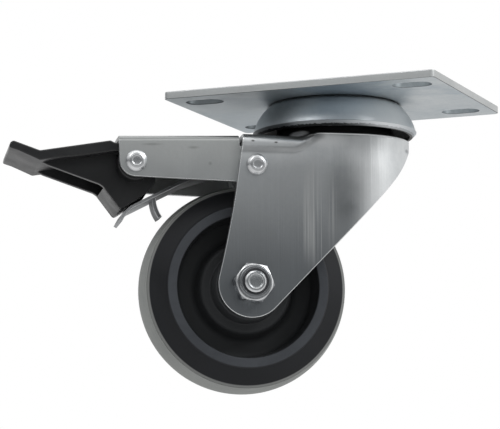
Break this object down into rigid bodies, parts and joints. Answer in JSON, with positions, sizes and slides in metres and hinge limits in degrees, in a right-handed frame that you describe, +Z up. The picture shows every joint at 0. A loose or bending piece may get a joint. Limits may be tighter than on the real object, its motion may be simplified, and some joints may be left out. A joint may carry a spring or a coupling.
{
  "type": "swivel castor",
  "caption": "Swivel castor with a slotted top plate, a double ball race, a pressed fork, a grey-treaded wheel and a foot-lever brake.",
  "frame": {"origin": "middle of the top plate's mounting face, on the swivel axis", "axes": "+Z up out of the mounting face, +X along the plate's length, +Y across the plate. At rest the fork is turned 32 degrees about Z, so that the wheel trails towards -X and -Y."},
  "size_m": [0.1665, 0.1207, 0.1109],
  "materials": {
    "plate_zinc": "zinc plated, satin",
    "fork_zinc": "zinc plated, satin, with draw marks",
    "bright_zinc": "bright zinc",
    "spring_steel": "zinc plated spring steel",
    "ball_steel": "polished and greased",
    "black_plastic": "moulded, satin",
    "grey_rubber": "grey, non-marking, matt",
    "nylon": "natural nylon"
  },
  "bodies": {
    "mounting": {"top_plate": "plate_zinc", "swivel_cup": "plate_zinc", "king_pin": "bright_zinc", "lower_race": "bright_zinc", "king_nut": "bright_zinc"},
    "upper_ball_row": {"upper_balls": "ball_steel"},
    "lower_ball_row": {"lower_balls": "ball_steel"},
    "fork_unit": {"fork": "fork_zinc", "brake_housing": "fork_zinc", "housing_pin": "bright_zinc", "pin_spacers": "bright_zinc", "pedal_pin": "bright_zinc", "axle_bolt": "bright_zinc", "axle_nut": "bright_zinc", "nut_insert": "nylon", "axle_sleeve": "bright_zinc"},
    "wheel": {"wheel_core": "black_plastic", "wheel_tread": "grey_rubber", "hub_bushes": "nylon"},
    "pedal": {"brake_pedal": "black_plastic"},
    "blade": {"brake_blade": "spring_steel"}
  },
  "joints": [
    {"name": "swivel", "type": "hinge", "parent": "mounting", "child": "fork_unit", "pos_m": [0, 0, 0], "axis": [0, 0, 1], "continuous": true},
    {"name": "upper_ball_orbit", "type": "hinge", "parent": "mounting", "child": "upper_ball_row", "pos_m": [0, 0, 0], "axis": [0, 0, 1], "continuous": true},
    {"name": "lower_ball_orbit", "type": "hinge", "parent": "mounting", "child": "lower_ball_row", "pos_m": [0, 0, 0], "axis": [0, 0, 1], "continuous": true},
    {"name": "wheel_spin", "type": "hinge", "parent": "fork_unit", "child": "wheel", "pos_m": [-0.03019, -0.01887, -0.0728], "axis": [-0.5299, 0.848, 0], "continuous": true},
    {"name": "pedal_press", "type": "hinge", "parent": "fork_unit", "child": "pedal", "pos_m": [-0.06538, -0.04086, -0.0284], "axis": [0.5299, -0.848, 0], "range_deg": [0, 15]},
    {"name": "blade_swing", "type": "hinge", "parent": "fork_unit", "child": "blade", "pos_m": [-0.02832, -0.0177, -0.0292], "axis": [0.5299, -0.848, 0], "range_deg": [0, 3.1]}
  ],
  "couplings": [
    {"joint": "upper_ball_orbit", "follows": "swivel", "ratio": 0.5},
    {"joint": "lower_ball_orbit", "follows": "swivel", "ratio": 0.5},
    {"joint": "blade_swing", "follows": "pedal_press", "ratio": 0.206}
  ]
}
